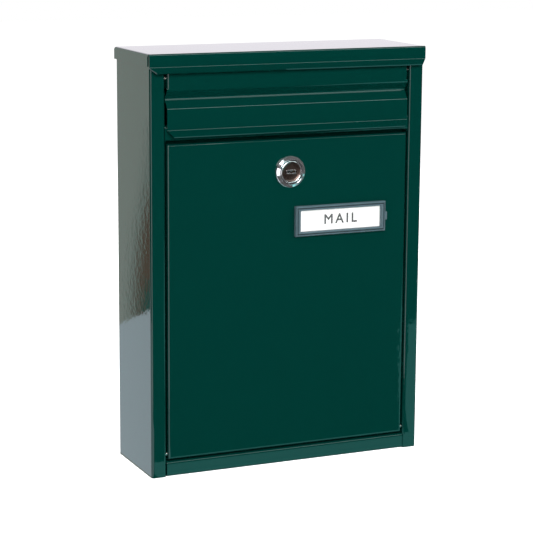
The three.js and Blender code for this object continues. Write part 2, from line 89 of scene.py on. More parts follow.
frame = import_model()
CAD_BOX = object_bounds()
MM = 0.001
TOUCH = 1e-5  # slack when a place is compared with a plane
GAP = 0.3 * MM  # clearance between neighbouring folded pieces
LOCK_HOLE_RADIUS = 9.8 * MM
PEG_SPREAD = 25 * MM  # from the name plate's middle to each of its pegs


# ---------------------------------------------------------------- settings


class MailboxSheetSettings(bpy.types.PropertyGroup):
    """Sizes of the folded steel."""

    thickness: FloatProperty(
        name="Sheet", description="Steel sheet thickness", default=1.0 * MM, unit="LENGTH"
    )
    bend: FloatProperty(
        name="Bend", description="Bend radius at the middle of the sheet", default=1.5 * MM,
        unit="LENGTH",
    )
    bend_segments: IntProperty(
        name="Bend segments", description="Faces round each bend", default=7, min=3, max=12
    )
    stile_width: FloatProperty(
        name="Stile", description="Width of the front stiles", default=11.1 * MM, unit="LENGTH"
    )
    return_depth: FloatProperty(
        name="Return", description="Depth of the stiles' inward returns", default=8.5 * MM,
        unit="LENGTH",
    )
    groove_depth: FloatProperty(
        name="Groove", description="Depth of the flap's finger groove", default=5.0 * MM, unit="LENGTH"
    )
    edge_break: FloatProperty(
        name="Edge break", description="Rounding of the cut edges", default=0.18 * MM, unit="LENGTH"
    )


class MailboxFinishSettings(bpy.types.PropertyGroup):
    """Colours of the finishes."""

    enamel: FloatVectorProperty(
        name="Enamel", description="Glossy enamel on the steel", subtype="COLOR", size=3,
        default=(0.0002, 0.0318, 0.0252), min=0, max=1,
    )
    chrome: FloatVectorProperty(
        name="Chrome", description="Lock bezel", subtype="COLOR", size=3,
        default=(0.80, 0.80, 0.82), min=0, max=1,
    )
    nickel: FloatVectorProperty(
        name="Dark nickel", description="Lock plug", subtype="COLOR", size=3,
        default=(0.105, 0.072, 0.062), min=0, max=1,
    )
    zinc: FloatVectorProperty(
        name="Zinc", description="Pins, nut, cam and washers", subtype="COLOR", size=3,
        default=(0.55, 0.53, 0.50), min=0, max=1,
    )
    brass: FloatVectorProperty(
        name="Brass", description="Lock wafers", subtype="COLOR", size=3,
        default=(0.60, 0.44, 0.18), min=0, max=1,
    )
    plastic: FloatVectorProperty(
        name="Clear plastic", description="Name plate cover", subtype="COLOR", size=3,
        default=(0.105, 0.165, 0.19), min=0, max=1,
    )
    card: FloatVectorProperty(
        name="Card", description="Name card", subtype="COLOR", size=3,
        default=(0.93, 0.93, 0.92), min=0, max=1,
    )
    card_text: StringProperty(
        name="Card text", description="Plain word printed on the card", default="MAIL"
    )


class MailboxStageSettings(bpy.types.PropertyGroup):
    """Camera, lights and floor."""

    eye: FloatVectorProperty(
        name="Eye", description="Camera position", subtype="TRANSLATION", size=3, unit="LENGTH",
        default=(-0.5643, -1.2977, 0.2634),
    )
    azimuth: FloatProperty(
        name="Azimuth", description="Camera heading, turned from +Y towards +X", subtype="ANGLE",
        default=math.radians(23.97),
    )
    tilt: FloatProperty(
        name="Tilt", description="Camera pitch below the horizon", subtype="ANGLE",
        default=math.radians(11.21),
    )
    roll: FloatProperty(
        name="Roll", description="Camera roll", subtype="ANGLE", default=math.radians(0.347)
    )
    lens: FloatProperty(
        name="Lens", description="Focal length in millimetres on a 36 mm sensor", default=130.15
    )
    floor_size: FloatProperty(
        name="Floor", description="Side of the floor", default=12.0, unit="LENGTH"
    )
    floor_drop: FloatProperty(
        name="Floor drop", description="Height of the box above the floor, for its door to swing down",
        default=0.12, unit="LENGTH",
    )


def sheet():
    return bpy.context.scene.mailbox_sheet


def finishes():
    return bpy.context.scene.mailbox_finish


def stage_settings():
    return bpy.context.scene.mailbox_stage


# ---------------------------------------------------------------- modelling tools


def deselect():
    for item in bpy.context.scene.objects:
        item.select_set(False)


def make_active(piece):
    deselect()
    piece.select_set(True)
    bpy.context.view_layer.objects.active = piece


def named(name):
    """Names the primitive just added and puts its place into its mesh."""
    piece = bpy.context.object
    piece.name = name
    piece.data.name = name
    bpy.ops.object.transform_apply(location=True, rotation=True, scale=True)
    return piece


def flat_sheet(name, centre, across, along):
    """A plane whose sides are the two vectors, centred on a point."""
    deselect()
    bpy.ops.mesh.primitive_plane_add(size=1)
    piece = bpy.context.object
    across, along = Vector(across), Vector(along)
    normal = across.cross(along).normalized()
    placed = Matrix((across, along, normal)).transposed().to_4x4()
    placed.translation = Vector(centre)
    piece.matrix_world = placed
    return named(name)


def box_piece(name, low, high):
    deselect()
    low, high = Vector(low), Vector(high)
    bpy.ops.mesh.primitive_cube_add(size=1, location=(low + high) / 2, scale=high - low)
    return named(name)


def rod_along(name, axis, radius, start, end, centre, vertices=48):
    """A cylinder along X or Y between two places on that axis."""
    deselect()
    turn = (0, math.pi / 2, 0) if axis == "X" else (math.pi / 2, 0, 0)
    place = Vector(centre)
    place["XYZ".index(axis)] = (start + end) / 2
    bpy.ops.mesh.primitive_cylinder_add(
        vertices=vertices, radius=radius, depth=abs(end - start), location=place, rotation=turn
    )
    return named(name)


def edit(piece, mode="EDGE"):
    make_active(piece)
    bpy.ops.object.mode_set(mode="EDIT")
    bpy.ops.mesh.select_mode(type=mode)
    bpy.ops.mesh.select_all(action="DESELECT")
    return bmesh.from_edit_mesh(piece.data)


def leave_edit():
    bpy.ops.object.mode_set(mode="OBJECT")


def near(value, target, slack=2e-5):
    return abs(value - target) < slack


def pick_edges(piece, mesh, test):
    """Selects the edges whose two ends both pass the test."""
    mesh.select_flush(False)
    found = [e for e in mesh.edges if all(test(v.co) for v in e.verts)]
    for edge in found:
        edge.select_set(True)
    bmesh.update_edit_mesh(piece.data)
    if not found:
        raise RuntimeError(f"{piece.name}: no edge to work on")


def pick_faces(piece, mesh, test):
    found = [f for f in mesh.faces if test(f.calc_center_median(), f.normal)]
    for face in found:
        face.select_set(True)
    bmesh.update_edit_mesh(piece.data)
    if not found:
        raise RuntimeError(f"{piece.name}: no face to work on")


def shift_vertices(piece, test, move):
    """Moves the vertices that pass the test by a vector."""
    mesh = edit(piece, "VERT")
    for vertex in mesh.verts:
        vertex.select_set(test(vertex.co))
    mesh.select_flush_mode()
    bmesh.update_edit_mesh(piece.data)
    bpy.ops.transform.translate(value=move)
    leave_edit()


def score(piece, place, normal):
    """Cuts a line of edges right across the piece on a plane, without parting it."""
    edit(piece)
    bpy.ops.mesh.select_all(action="SELECT")
    bpy.ops.mesh.bisect(plane_co=place, plane_no=normal)
    leave_edit()


def trim_faces(piece, test, place, normal):
    """Cuts away what lies beyond a plane, on the faces that pass the test."""
    mesh = edit(piece, "FACE")
    pick_faces(piece, mesh, test)
    bpy.ops.mesh.bisect(plane_co=place, plane_no=normal, clear_outer=True)
    leave_edit()


def fold(piece, test, move):
    """Draws the edges that pass the test out by a vector, as a new leg of the sheet."""
    mesh = edit(piece)
    pick_edges(piece, mesh, test)
    bpy.ops.mesh.extrude_region_move(TRANSFORM_OT_translate={"value": move})
    leave_edit()


def round_fold(piece, test, turn, radius=None):
    """Rounds the fold lines that pass the test to the bend radius, for a turn in radians."""
    radius = sheet().bend if radius is None else radius
    mesh = edit(piece)
    pick_edges(piece, mesh, test)
    bpy.ops.mesh.bevel(
        offset=radius * math.tan(abs(turn) / 2), segments=sheet().bend_segments, profile=0.5,
        affect="EDGES",
    )
    leave_edit()


def trim_flare(piece, half_width, front, top, out, down, chamfer):
    """Chamfers both ends of the leg that flares out and down from a fold line."""
    down_flare = Vector((0, -out, -down)).normalized()
    for side in (-1, 1):
        # the trim plane holds the flare's own normal and the chamfer's line
        away = (Vector((side, 0, 0)) * math.hypot(out, down) + down_flare * chamfer).normalized()
        trim_faces(piece, lambda c, n: c.z < top - TOUCH, (side * half_width, front, top), away)


def folded_strip(name, corners, low, high, along):
    """A sheet folded along lines parallel to an axis; corners are its middle line in the other two."""
    first, second = ("Y", "Z") if along == "X" else ("X", "Y")
    axes = ["XYZ".index(letter) for letter in (first, second, along)]

    def point(corner, place):
        made = Vector((0, 0, 0))
        made[axes[0]], made[axes[1]], made[axes[2]] = corner[0], corner[1], place
        return made

    def at(corner):
        return lambda co: near(co[axes[0]], corner[0]) and near(co[axes[1]], corner[1])

    start, end = point(corners[0], 0), point(corners[1], 0)
    centre = (start + end) / 2 + point((0, 0), (low + high) / 2)
    piece = flat_sheet(name, centre, point((0, 0), high - low), end - start)
    for here, after in zip(corners[1:], corners[2:]):
        fold(piece, at(here), point(after, 0) - point(here, 0))
    for before, here, after in zip(corners, corners[1:], corners[2:]):
        into = Vector(here) - Vector(before)
        away = Vector(after) - Vector(here)
        round_fold(piece, at(here), into.angle_signed(away))
    return piece


def apply_modifier(piece, kind, **values):
    make_active(piece)
    modifier = piece.modifiers.new(kind.title(), kind)
    for key, value in values.items():
        setattr(modifier, key, value)
    bpy.ops.object.modifier_apply(modifier=modifier.name)


def drill(piece, *cutters):
    """Cuts the cutters out of the piece and removes them."""
    for cutter in cutters:
        apply_modifier(piece, "BOOLEAN", operation="DIFFERENCE", solver="EXACT", object=cutter)
        bpy.data.objects.remove(cutter)


def merge_in(piece, *others):
    for other in others:
        apply_modifier(piece, "BOOLEAN", operation="UNION", solver="EXACT", object=other)
        bpy.data.objects.remove(other)


def smooth(piece, angle=32):
    make_active(piece)
    bpy.ops.object.shade_smooth_by_angle(angle=math.radians(angle))
    apply_modifier(piece, "WEIGHTED_NORMAL", mode="FACE_AREA", weight=50, keep_sharp=True)


def break_edges(piece, width, segments=2, limit=40):
    apply_modifier(
        piece, "BEVEL", width=width, segments=segments, limit_method="ANGLE",
        angle_limit=math.radians(limit), use_clamp_overlap=True,
    )


def give_thickness(piece, offset=0.0, even=True, thickness=None):
    """Turns a folded middle surface into solid sheet; an uneven wall avoids spikes at cut corners."""
    edit(piece, "FACE")
    bpy.ops.mesh.select_all(action="SELECT")
    bpy.ops.mesh.remove_doubles(threshold=1e-6)
    bpy.ops.mesh.normals_make_consistent(inside=False)
    leave_edit()
    apply_modifier(
        piece, "SOLIDIFY", thickness=thickness or sheet().thickness, offset=offset,
        use_even_offset=even,
    )


def turned(name, profile, centre, vertices=96, closed=False):
    """A shape turned about the Y axis through a point, drawn out ring by ring from a circle."""
    deselect()
    radius, depth = profile[0]
    spot = Vector((centre[0], depth, centre[1]))
    bpy.ops.mesh.primitive_circle_add(
        vertices=vertices, radius=radius, location=spot, rotation=(math.pi / 2, 0, 0)
    )
    piece = named(name)
    edit(piece)
    bpy.ops.mesh.select_all(action="SELECT")
    for (old_radius, old_depth), (new_radius, new_depth) in zip(profile, profile[1:]):
        ratio = new_radius / old_radius
        bpy.ops.mesh.extrude_region_move(
            TRANSFORM_OT_translate={"value": (0, new_depth - old_depth, 0)}
        )
        bpy.ops.transform.resize(
            value=(ratio, 1, ratio), center_override=(centre[0], new_depth, centre[1])
        )
    bpy.ops.mesh.select_all(action="SELECT")
    bpy.ops.mesh.remove_doubles(threshold=1e-6)
    if not closed:
        bpy.ops.mesh.select_all(action="DESELECT")
        bpy.ops.mesh.select_non_manifold()
        bpy.ops.mesh.edge_face_add()
    bpy.ops.mesh.select_all(action="SELECT")
    bpy.ops.mesh.normals_make_consistent(inside=False)
    leave_edit()
    return piece


def settle(piece, body, material, slot, *nodes):
    """Gives a finished piece its material and body, and hides the frame nodes it stands for."""
    piece.data.materials.clear()
    piece.data.materials.append(material)
    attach(piece, body)
    if nodes:
        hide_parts(*nodes)
    return piece


# ---------------------------------------------------------------- materials


def new_group(name, inputs, outputs):
    group = bpy.data.node_groups.new(name, "ShaderNodeTree")
    for label, kind, value in inputs:
        socket = group.interface.new_socket(label, in_out="INPUT", socket_type=kind)
        socket.default_value = value
    for label, kind in outputs:
        group.interface.new_socket(label, in_out="OUTPUT", socket_type=kind)
    return group, group.nodes.new("NodeGroupInput"), group.nodes.new("NodeGroupOutput")


def place_node(tree, kind, **values):
    node = tree.nodes.new(kind)
    for key, value in values.items():
        setattr(node, key, value)
    return node


def object_noise(tree, scale, detail, roughness=0.5):
    """A noise texture over the object's own coordinates; scale may be a socket."""
    where = tree.nodes.new("ShaderNodeTexCoord")
    noise = tree.nodes.new("ShaderNodeTexNoise")
    tree.links.new(where.outputs["Object"], noise.inputs["Vector"])
    if isinstance(scale, bpy.types.NodeSocket):
        tree.links.new(scale, noise.inputs["Scale"])
    else:
        noise.inputs["Scale"].default_value = scale
    noise.inputs["Detail"].default_value = detail
    noise.inputs["Roughness"].default_value = roughness
    return noise


def peel_group():
    """The fine ripple that sprayed enamel dries with, as a height."""
    group, taken, given = new_group(
        "enamel_peel",
        [("Ripple Scale", "NodeSocketFloat", 260.0), ("Swell Scale", "NodeSocketFloat", 26.0),
         ("Swell", "NodeSocketFloat", 0.6)],
        [("Height", "NodeSocketFloat")],
    )
    ripple = object_noise(group, taken.outputs["Ripple Scale"], 2.0)
    swell = object_noise(group, taken.outputs["Swell Scale"], 1.0)
    scaled = place_node(group, "ShaderNodeMath", operation="MULTIPLY")
    total = place_node(group, "ShaderNodeMath", operation="ADD")
    group.links.new(swell.outputs["Fac"], scaled.inputs[0])
    group.links.new(taken.outputs["Swell"], scaled.inputs[1])
    group.links.new(ripple.outputs["Fac"], total.inputs[0])
    group.links.new(scaled.outputs[0], total.inputs[1])
    group.links.new(total.outputs[0], given.inputs["Height"])
    return group


def tone_group():
    """Slow, slight changes of shade over a surface, as a colour."""
    group, taken, given = new_group(
        "shade_drift",
        [("Colour", "NodeSocketColor", (0.5, 0.5, 0.5, 1)), ("Scale", "NodeSocketFloat", 12.0),
         ("Drift", "NodeSocketFloat", 0.06)],
        [("Colour", "NodeSocketColor")],
    )
    noise = object_noise(group, taken.outputs["Scale"], 3.0)
    centred = place_node(group, "ShaderNodeMath", operation="SUBTRACT")
    centred.inputs[1].default_value = 0.5
    amount = place_node(group, "ShaderNodeMath", operation="MULTIPLY_ADD")
    amount.inputs[2].default_value = 1.0
    shade = place_node(group, "ShaderNodeHueSaturation")
    group.links.new(noise.outputs["Fac"], centred.inputs[0])
    group.links.new(centred.outputs[0], amount.inputs[0])
    group.links.new(taken.outputs["Drift"], amount.inputs[1])
    group.links.new(amount.outputs[0], shade.inputs["Value"])
    group.links.new(taken.outputs["Colour"], shade.inputs["Color"])
    group.links.new(shade.outputs["Color"], given.inputs["Colour"])
    return group


def rub_group():
    """Faint rubbed and dusty patches, as a roughness."""
    group, taken, given = new_group(
        "rubbed_gloss",
        [("Low", "NodeSocketFloat", 0.1), ("High", "NodeSocketFloat", 0.2),
         ("Scale", "NodeSocketFloat", 18.0)],
        [("Roughness", "NodeSocketFloat")],
    )
    noise = object_noise(group, taken.outputs["Scale"], 5.0, 0.6)
    spread = group.nodes.new("ShaderNodeMapRange")
    spread.inputs["From Min"].default_value = 0.35
    spread.inputs["From Max"].default_value = 0.75
    group.links.new(noise.outputs["Fac"], spread.inputs["Value"])
    group.links.new(taken.outputs["Low"], spread.inputs["To Min"])
    group.links.new(taken.outputs["High"], spread.inputs["To Max"])
    group.links.new(spread.outputs["Result"], given.inputs["Roughness"])
    return group


def brush_group():
    """Fine lines drawn along X, Y or Z by stretched noise, as a height."""
    group, taken, given = new_group(
        "drawn_lines",
        [("Stretch", "NodeSocketVector", (60.0, 2500.0, 2500.0))],
        [("Height", "NodeSocketFloat")],
    )
    where = group.nodes.new("ShaderNodeTexCoord")
    stretch = place_node(group, "ShaderNodeVectorMath", operation="MULTIPLY")
    noise = group.nodes.new("ShaderNodeTexNoise")
    noise.inputs["Scale"].default_value = 1.0
    noise.inputs["Detail"].default_value = 2.0
    group.links.new(where.outputs["Object"], stretch.inputs[0])
    group.links.new(taken.outputs["Stretch"], stretch.inputs[1])
    group.links.new(stretch.outputs[0], noise.inputs["Vector"])
    group.links.new(noise.outputs["Fac"], given.inputs["Height"])
    return group


EFFECTS = {"peel": peel_group, "tone": tone_group, "rub": rub_group, "lines": brush_group}


def effect(tree, kind, **values):
    """Places one of the shared effects in a material, building it the first time."""
    key = f"mailbox_{kind}"
    group = bpy.data.node_groups.get(key)
    if group is None:
        group = EFFECTS[kind]()
        group.name = key
    node = tree.nodes.new("ShaderNodeGroup")
    node.node_tree = group
    for label, value in values.items():
        node.inputs[label].default_value = value
    return node


def surface(name, colour, roughness, drift=0.06, drift_scale=14.0, rub_scale=18.0, **shader_values):
    """A Principled material with drifting shade and rubbed gloss; returns it with its nodes."""
    material = bpy.data.materials.new(name)
    material.use_nodes = True
    tree = material.node_tree
    shader = tree.nodes["Principled BSDF"]
    for label, value in shader_values.items():
        shader.inputs[label.replace("_", " ")].default_value = value
    tone = effect(tree, "tone", Colour=(*colour, 1), Scale=drift_scale, Drift=drift)
    rub = effect(tree, "rub", Low=roughness[0], High=roughness[1], Scale=rub_scale)
    tree.links.new(tone.outputs["Colour"], shader.inputs["Base Color"])
    tree.links.new(rub.outputs["Roughness"], shader.inputs["Roughness"])
    return material, tree, shader


def add_bump(tree, shader, height, strength, distance):
    bump = tree.nodes.new("ShaderNodeBump")
    bump.inputs["Strength"].default_value = strength
    bump.inputs["Distance"].default_value = distance
    tree.links.new(height, bump.inputs["Height"])
    tree.links.new(bump.outputs["Normal"], shader.inputs["Normal"])


def enamel_material():
    material, tree, shader = surface(
        "green_enamel", finishes().enamel, (0.02, 0.055), drift=0.05, IOR=1.5
    )
    peel = effect(tree, "peel")
    add_bump(tree, shader, peel.outputs["Height"], 0.45, 0.00007)
    return material


def metal_material(name, colour, roughness, stretch=None, bump=0.0, drift=0.05, metallic=1.0):
    material, tree, shader = surface(
        name, colour, roughness, drift=drift, drift_scale=90.0, rub_scale=160.0, Metallic=metallic
    )
    if stretch:
        lines = effect(tree, "lines", Stretch=stretch)
        add_bump(tree, shader, lines.outputs["Height"], bump, 0.00005)
    return material


def plastic_material():
    material, tree, shader = surface(
        "clear_plastic", finishes().plastic, (0.05, 0.14), drift=0.35, drift_scale=220.0,
        IOR=1.49, Alpha=0.8,
    )
    peel = effect(tree, "peel")
    add_bump(tree, shader, peel.outputs["Height"], 0.15, 0.00004)
    return material


def window_material():
    material, _, _ = surface(
        "clear_window", (0.9, 0.95, 0.95), (0.02, 0.06), drift_scale=60.0, IOR=1.49, Alpha=0.06
    )
    return material


def channel_shade_material():
    """The channel of the cover: darker plastic as painted shade in the recess, with a little more of
    the dark door showing through.
    """
    material, _, _ = surface(
        "channel_shade_plastic", tuple(0.3 * value for value in finishes().plastic), (0.1, 0.2),
        IOR=1.49, Alpha=0.75,
    )
    return material


def card_material():
    material, tree, shader = surface(
        "white_card", finishes().card, (0.75, 0.9), drift=0.02, drift_scale=300.0, rub_scale=300.0
    )
    peel = effect(tree, "peel")
    add_bump(tree, shader, peel.outputs["Height"], 0.2, 0.00003)
    return material


def ink_material():
    material, _, _ = surface("card_ink", (0.012, 0.012, 0.014), (0.45, 0.6), drift_scale=200.0)
    return material


MATERIALS = {
    "enamel": enamel_material,
    "chrome": lambda: metal_material(
        "chrome_plate", finishes().chrome, (0.06, 0.16), (400, 400, 400), 0.05, metallic=0.9
    ),
    "nickel": lambda: metal_material(
        "dark_nickel", finishes().nickel, (0.2, 0.42), (900, 300, 2600), 0.8, 0.6, metallic=0.85
    ),
    "zinc": lambda: metal_material(
        "zinc_plate", finishes().zinc, (0.22, 0.4), (200, 2500, 2500), 0.25, 0.12
    ),
    "brass": lambda: metal_material(
        "wafer_brass", finishes().brass, (0.25, 0.4), (2500, 2500, 200), 0.2, 0.1
    ),
    "plastic": plastic_material,
    "window": window_material,
    "thin": channel_shade_material,
    "card": card_material,
    "ink": ink_material,
}


def material(kind):
    made = bpy.data.materials.get(f"mailbox_{kind}")
    if made is None:
        made = MATERIALS[kind]()
        made.name = f"mailbox_{kind}"
    return made


# ---------------------------------------------------------------- folded steel


def hinge_axis(name):
    joint = next(j for j in frame["joints"] if j["name"] == name)
    return Vector(joint["pos_m"])


def pin_hole_cutters(axis, half_width):
    """Rods through the two ends of a piece, on a hinge's axis."""
    radius = 1.5 * MM
    reach = 3 * MM
    return [
        rod_along(
            "pin_cutter", "X", radius, side * (half_width - reach), side * (half_width + reach),
            axis, 24,
        )
        for side in (-1, 1)
    ]


def build_case_shell():
    low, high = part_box("case_shell")
    half = sheet().thickness / 2
    side, front, back = high.x - half, low.y + half, high.y - half
    inner = high.x - sheet().stile_width + half
    left = [(-inner, low.y + sheet().return_depth), (-inner, front), (-side, front), (-side, back)]
    right = [(-x, y) for x, y in reversed(left)]
    piece = folded_strip("case_shell_sheet", left + right, low.z, high.z, "Z")

    flange_half = high.x - 6 * MM
    for x in (-flange_half, flange_half):
        score(piece, (x, 0, 0), (1, 0, 0))
    top = high.z - half

    def top_edge(co, height=top):
        return near(co.y, back) and near(co.z, height) and abs(co.x) < flange_half + TOUCH

    shift_vertices(piece, lambda co: top_edge(co, high.z), (0, 0, top - high.z))
    fold(piece, top_edge, (0, -11.5 * MM, 0))
    round_fold(piece, top_edge, math.pi / 2)
    give_thickness(piece)
    screw_x, screw_z, screw_radius = 75 * MM, 110 * MM, 3 * MM
    for x in (-screw_x, screw_x):
        for z in (-screw_z, screw_z):
            drill(piece, rod_along("screw_cutter", "Y", screw_radius, -3 * MM, 2 * MM, (x, 0, z)))
    inner_face = high.x - sheet().stile_width
    for joint in ("flap_hinge", "door_hinge"):
        drill(piece, *pin_hole_cutters(hinge_axis(joint), inner_face))
    break_edges(piece, sheet().edge_break)
    smooth(piece)
    return settle(piece, "case", material("enamel"), "case_enamel", "case_shell")


def build_bottom_tray():
    low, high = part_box("bottom_tray")
    case_half_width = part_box("case_shell")[1].x
    half = sheet().thickness / 2
    side, back, floor = high.x - half, high.y - half, low.z + half
    front, top = low.y + half, high.z - half
    rail = case_half_width - sheet().stile_width - GAP
    shoulder = low.y + sheet().return_depth + GAP
    upstand = 10.5 * MM
    piece = flat_sheet(
        "bottom_tray_sheet", (0, (front + back) / 2, floor), (2 * side, 0, 0), (0, back - front, 0)
    )
    for x in (-rail, rail):
        score(piece, (x, 0, 0), (1, 0, 0))
    score(piece, (0, shoulder, 0), (0, 1, 0))
    mesh = edit(piece, "FACE")
    pick_faces(piece, mesh, lambda c, n: abs(c.x) > rail and c.y < shoulder)
    bpy.ops.mesh.delete(type="FACE")
    leave_edit()

    def rail_foot(co):
        return near(co.y, front) and near(co.z, floor)

    def rail_head(co):
        return near(co.y, front) and near(co.z, top)

    def back_foot(co):
        return near(co.y, back) and near(co.z, floor) and abs(co.x) < rail + TOUCH

    fold(piece, rail_foot, (0, 0, top - floor))
    fold(piece, rail_head, (0, sheet().return_depth - 1.5 * MM, 0))
    fold(piece, back_foot, (0, 0, upstand))
    for edge_x in (-side, side):
        fold(
            piece,
            lambda co, x=edge_x: near(co.x, x) and near(co.z, floor) and co.y > shoulder - TOUCH,
            (0, 0, upstand),
        )
        round_fold(piece, lambda co, x=edge_x: near(co.x, x) and near(co.z, floor), math.pi / 2)
    for line in (rail_foot, rail_head, back_foot):
        round_fold(piece, line, math.pi / 2)
    give_thickness(piece)
    break_edges(piece, sheet().edge_break)
    smooth(piece)
    return settle(piece, "case", material("enamel"), "tray_enamel", "bottom_tray")


def build_roof_cap():
    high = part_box("roof_cap")[1]
    case_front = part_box("case_shell")[0].y
    half = sheet().thickness / 2
    side, top = high.x - half, high.z - half
    lip_front = case_front - 1.3 * MM
    lip = lip_front + half
    lip_bottom, flange_bottom = high.z - 9.5 * MM, high.z - 8.5 * MM
    flare_out, flare_down, chamfer = 4.5 * MM, 3.4 * MM, 4.1 * MM
    notch_back = lip_front + 2.6 * MM
    piece = flat_sheet("roof_cap_sheet", (0, lip / 2, top), (2 * side, 0, 0), (0, -lip, 0))
    score(piece, (0, notch_back, 0), (0, 1, 0))

    def lip_top(co):
        return near(co.y, lip) and near(co.z, top)

    def lip_fold(co):
        return near(co.y, lip) and near(co.z, lip_bottom)

    fold(piece, lip_top, (0, 0, lip_bottom - top))
    fold(piece, lip_fold, (0, -flare_out, -flare_down))
    trim_flare(piece, side, lip, lip_bottom, flare_out, flare_down, chamfer)
    for edge_x in (-side, side):
        def flange_line(co, x=edge_x):
            return near(co.x, x) and near(co.z, top) and co.y > notch_back - TOUCH

        fold(piece, flange_line, (0, 0, flange_bottom - top))
        round_fold(piece, flange_line, math.pi / 2)
    round_fold(piece, lip_top, math.pi / 2)
    round_fold(piece, lip_fold, math.atan2(flare_out, flare_down))
    # the lip's top corners follow the outside of the side bends
    corner = sheet().bend + half
    for sign in (-1, 1):
        for step in (1, 2, 3):
            turn = step * math.pi / 8
            away = Vector((sign * math.cos(turn), 0, math.sin(turn)))
            spot = Vector((sign * (high.x - corner), 0, high.z - corner)) + away * corner
            trim_faces(piece, lambda c, n: c.y < notch_back - TOUCH, spot, away)
    give_thickness(piece, even=False)
    break_edges(piece, sheet().edge_break)
    smooth(piece)
    return settle(piece, "case", material("enamel"), "roof_enamel", "roof_cap")


def build_cross_rail():
    low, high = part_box("cross_rail")
    half = sheet().thickness / 2
    face, back = low.y + half, high.y - half
    top = high.z - half
    bottom = high.z - 10.7 * MM + half
    piece = folded_strip(
        "cross_rail_sheet",
        [(back + half, top), (face, top), (face, bottom), (back, bottom), (back, low.z)],
        low.x, high.x, "X",
    )
    give_thickness(piece)
    for sign in (-1, 1):
        inner, outer = sorted((sign * high.x, sign * (high.x - sheet().thickness)))
        tab = box_piece("tab", (inner, face, bottom), (outer, face + 7 * MM, top))
        merge_in(piece, tab)
    break_edges(piece, sheet().edge_break)
    smooth(piece)
    return settle(piece, "case", material("enamel"), "rail_enamel", "cross_rail")


def build_slot_flap():
    low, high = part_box("slot_flap")
    case_low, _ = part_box("case_shell")
    half = sheet().thickness / 2
    front = case_low.y + half
    flare_top, flare_out, flare_down, chamfer = 97 * MM, 4.7 * MM, 4.1 * MM, 3.4 * MM
    groove = [(front, 124.8 * MM), (front + sheet().groove_depth, 119.1 * MM), (front, 111.7 * MM)]
    ear_low, ear_high, ear_depth = 126 * MM, 136.5 * MM, 7.5 * MM
    corners = [
        (front, high.z), *groove, (front, flare_top), (front - flare_out, flare_top - flare_down),
    ]
    piece = folded_strip("slot_flap_sheet", corners, low.x, high.x, "X")
    trim_flare(piece, high.x, front, flare_top, flare_out, flare_down, chamfer)
    for z in (ear_low, ear_high):
        score(piece, (0, 0, z), (0, 0, 1))
    for sign in (-1, 1):
        edge_x, end_x = sign * (high.x - half), sign * high.x

        def ear_line(co, x=edge_x):
            return near(co.x, x) and near(co.y, front) and ear_low - TOUCH < co.z < ear_high + TOUCH

        shift_vertices(piece, lambda co, x=end_x: ear_line(co, x), (edge_x - end_x, 0, 0))
        fold(piece, ear_line, (0, ear_depth - half, 0))
        round_fold(piece, ear_line, math.pi / 2)
    give_thickness(piece)
    drill(piece, *pin_hole_cutters(hinge_axis("flap_hinge"), high.x))
    break_edges(piece, sheet().edge_break)
    smooth(piece)
    return settle(piece, "flap", material("enamel"), "flap_enamel", "slot_flap")


def build_door_panel():
    low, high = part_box("door_panel")
    piece = box_piece("door_panel_sheet", low, high)
    mesh = edit(piece, "FACE")
    pick_faces(piece, mesh, lambda c, n: n.y > 0.9)
    bpy.ops.mesh.delete(type="FACE")
    mesh = edit(piece)
    pick_edges(piece, mesh, lambda co: near(co.y, low.y))
    bpy.ops.mesh.bevel(
        offset=sheet().bend + sheet().thickness / 2, segments=sheet().bend_segments, profile=0.5,
        affect="EDGES",
    )
    leave_edit()
    give_thickness(piece, offset=-1.0)
    lock_low, lock_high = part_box("lock_housing")
    lock = (lock_low + lock_high) / 2
    before, behind = low.y - 2 * MM, low.y + 3 * MM
    drill(piece, rod_along("lock_cutter", "Y", LOCK_HOLE_RADIUS, before, behind, lock, 96))
    base_low, base_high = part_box("label_base")
    label = (base_low + base_high) / 2
    for sign in (-1, 1):
        spot = label + Vector((sign * PEG_SPREAD, 0, 0))
        drill(piece, rod_along("peg_cutter", "Y", 1.9 * MM, before, behind, spot, 32))
    drill(piece, *pin_hole_cutters(hinge_axis("door_hinge"), high.x))
    break_edges(piece, sheet().edge_break)
    smooth(piece)
    return settle(piece, "door", material("enamel"), "door_enamel", "door_panel")


# ---------------------------------------------------------------- lock


def lock_centre():
    low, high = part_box("lock_housing")
    return ((low.x + high.x) / 2, (low.z + high.z) / 2)


def build_lock_housing():
    low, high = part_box("lock_housing")
    bezel, barrel, counterbore, bore = high.z - lock_centre()[1], 9.5 * MM, 8.65 * MM, 6.3 * MM
    flange = low.y + 2.6 * MM
    shoulder = low.y + 4.7 * MM
    profile = [(bore, high.y), (barrel - 0.5 * MM, high.y)]
    pitch, depth = 1.0 * MM, 0.45 * MM
    turns = int((high.y - flange - 1.5 * MM) / pitch)
    for i in range(turns):
        ridge = high.y - 0.5 * MM - i * pitch
        profile += [(barrel, ridge), (barrel - depth, ridge - pitch / 2)]
    profile += [
        (barrel, flange + 1.0 * MM), (barrel, flange), (bezel - 0.15 * MM, flange),
        (bezel, flange - 0.2 * MM), (bezel, low.y + 1.75 * MM),
        (bezel - 0.12 * MM, low.y + 1.5 * MM), (bezel - 0.4 * MM, low.y + 1.28 * MM),
        (bezel - 1.95 * MM, low.y + 0.3 * MM), (bezel - 2.15 * MM, low.y + 0.08 * MM),
        (bezel - 2.3 * MM, low.y), (counterbore + 0.12 * MM, low.y + 0.06 * MM),
        (counterbore, low.y + 0.4 * MM),
        (counterbore, shoulder), (bore, shoulder), (bore, high.y),
    ]
    piece = turned("lock_housing_turned", profile, lock_centre(), closed=True)
    smooth(piece, 38)
    return settle(piece, "door", material("chrome"), "chrome_plate", "lock_housing")


